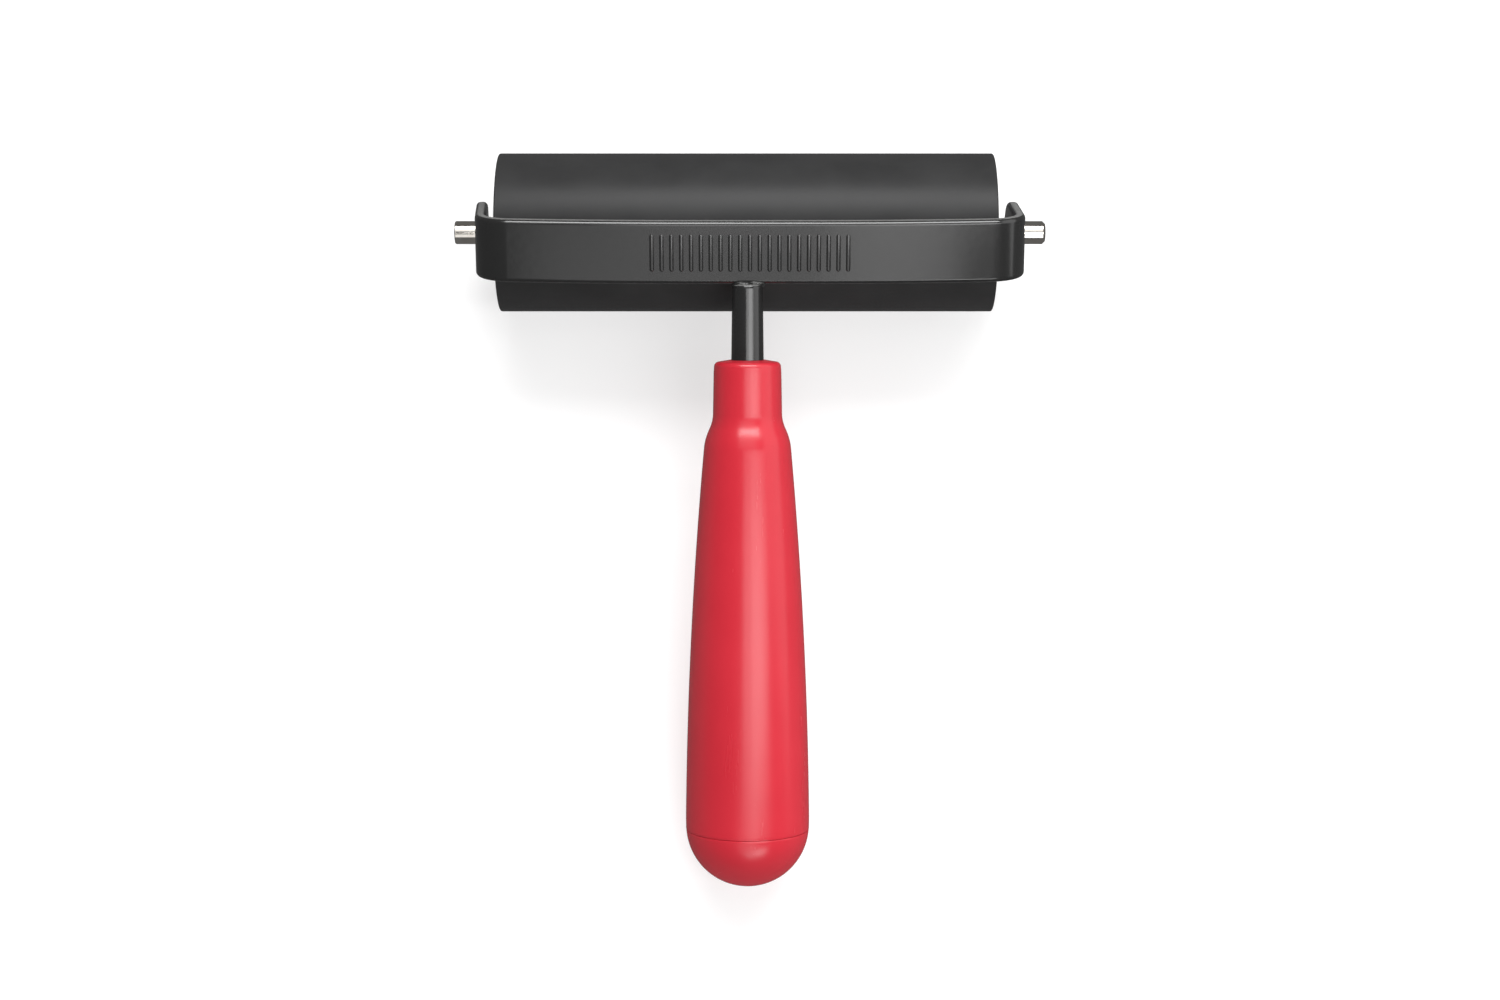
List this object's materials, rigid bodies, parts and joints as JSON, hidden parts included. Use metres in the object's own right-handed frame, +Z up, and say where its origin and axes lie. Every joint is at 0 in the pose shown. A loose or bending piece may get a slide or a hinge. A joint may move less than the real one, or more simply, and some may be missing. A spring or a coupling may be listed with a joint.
{
  "type": "rubber brayer",
  "caption": "Ink roller: a soft rubber roller spinning on an axle in a bent steel strap, with a round stem and a tapered moulded plastic handle.",
  "frame": {"origin": "on the surface the brayer stands on, under the middle of its bounding box", "axes": "+X along the roller, +Y from the handle's butt to the roller, +Z up from the surface"},
  "size_m": [0.1218, 0.1503, 0.0399],
  "materials": {
    "rubber": "satin moulded and ground soft rubber",
    "tube_steel": "drawn tube",
    "hub_plastic": "moulded",
    "bronze": "sintered bronze",
    "nickel": "bright nickel plate",
    "nylon": "natural nylon",
    "spring_steel": "oiled spring steel",
    "enamel": "black semi-gloss enamel",
    "red_plastic": "satin-gloss moulded plastic"
  },
  "bodies": {
    "frame": {"axle": "nickel", "thrust_washer_left": "nylon", "thrust_washer_right": "nylon", "retaining_ring_left": "spring_steel", "retaining_ring_right": "spring_steel", "frame_strap": "enamel", "stem": "enamel", "stem_weld": "enamel", "handle_body": "red_plastic", "butt_cap": "red_plastic"},
    "roller": {"rubber_cover": "rubber", "core_tube": "tube_steel", "core_hub_left": "hub_plastic", "core_hub_right": "hub_plastic", "bearing_bush_left": "bronze", "bearing_bush_right": "bronze"}
  },
  "joints": [
    {"name": "roller_spin", "type": "hinge", "parent": "frame", "child": "roller", "pos_m": [0, 0.05891, 0.01625], "axis": [1, 0, 0], "continuous": true}
  ]
}
